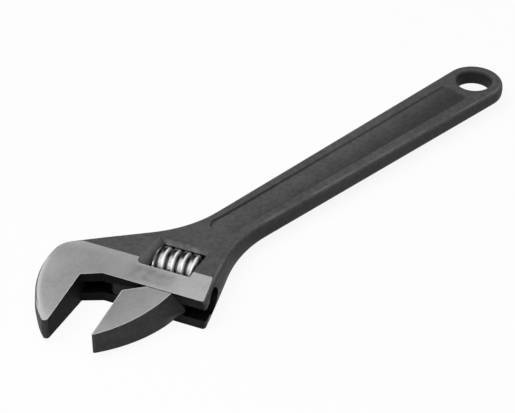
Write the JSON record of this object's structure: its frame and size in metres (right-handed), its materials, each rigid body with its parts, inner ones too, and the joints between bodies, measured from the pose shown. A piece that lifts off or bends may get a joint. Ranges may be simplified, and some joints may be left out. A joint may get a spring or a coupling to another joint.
{
  "type": "adjustable wrench",
  "caption": "Adjustable wrench with an angled head, a fixed and a sliding jaw moved by a thumb worm, and a hang hole in the handle.",
  "frame": {"origin": "centre of the overall box in plan, at its lowest point, with the jaws at rest opening", "axes": "+X along the handle from the head to the hang hole, +Z square to the flat faces, so the middle plane of the forging is level"},
  "size_m": [0.3048, 0.0798, 0.0186],
  "materials": {
    "forging": "black phosphate on forged steel, ground satin on the head's faces",
    "worm": "bright turned steel",
    "pin": "blackened steel",
    "spring": "spring steel wire"
  },
  "bodies": {
    "body": {"wrench_body": "forging", "worm_pin": "pin", "worm_spring": "spring"},
    "jaw": {"movable_jaw": "forging"},
    "worm": {"adjusting_worm": "worm"}
  },
  "joints": [
    {"name": "jaw_slide", "type": "slide", "parent": "body", "child": "jaw", "axis": [0.3827, -0.9239, 0], "range_m": [-0.0228, 0.012]},
    {"name": "worm_spin", "type": "hinge", "parent": "body", "child": "worm", "pos_m": [-0.07936, -0.0064, 0.0093], "axis": [-0.3827, 0.9239, 0], "range_deg": [-1642, 865]}
  ],
  "couplings": [
    {"joint": "worm_spin", "follows": "jaw_slide", "rad_per_m": 1256.6}
  ]
}
